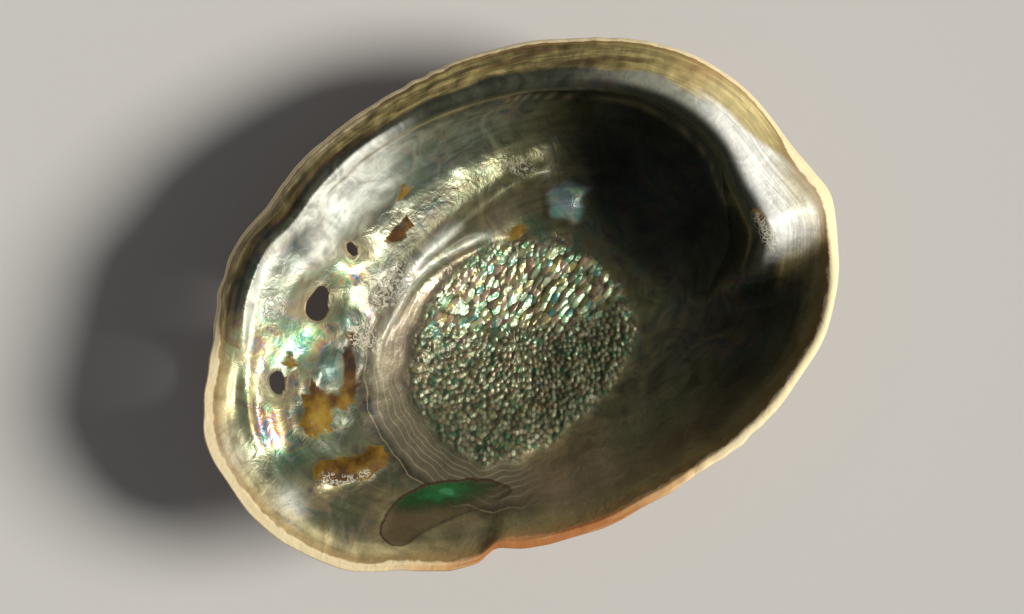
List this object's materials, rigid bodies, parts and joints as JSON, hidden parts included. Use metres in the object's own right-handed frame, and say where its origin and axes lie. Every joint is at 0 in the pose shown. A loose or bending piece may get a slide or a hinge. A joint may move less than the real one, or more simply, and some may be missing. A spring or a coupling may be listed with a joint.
{
  "type": "abalone shell",
  "caption": "Whole abalone shell lying on its back with its mouth up: a deep oval bowl of nacre with a rolled inner-lip shelf, a muscle scar and a row of breathing holes.",
  "frame": {"origin": "middle of the shell's outline, on the surface its crown lies on", "axes": "+X from the front edge to the spire end, +Y to the inner-lip shelf and the row of holes, +Z out of the mouth"},
  "size_m": [0.2, 0.1448, 0.0553],
  "materials": {
    "shell": "natural calcium carbonate: polished silver-green nacre inside, brick-brown worn crust outside"
  },
  "bodies": {
    "root": {"shell": "shell"}
  },
  "joints": []
}
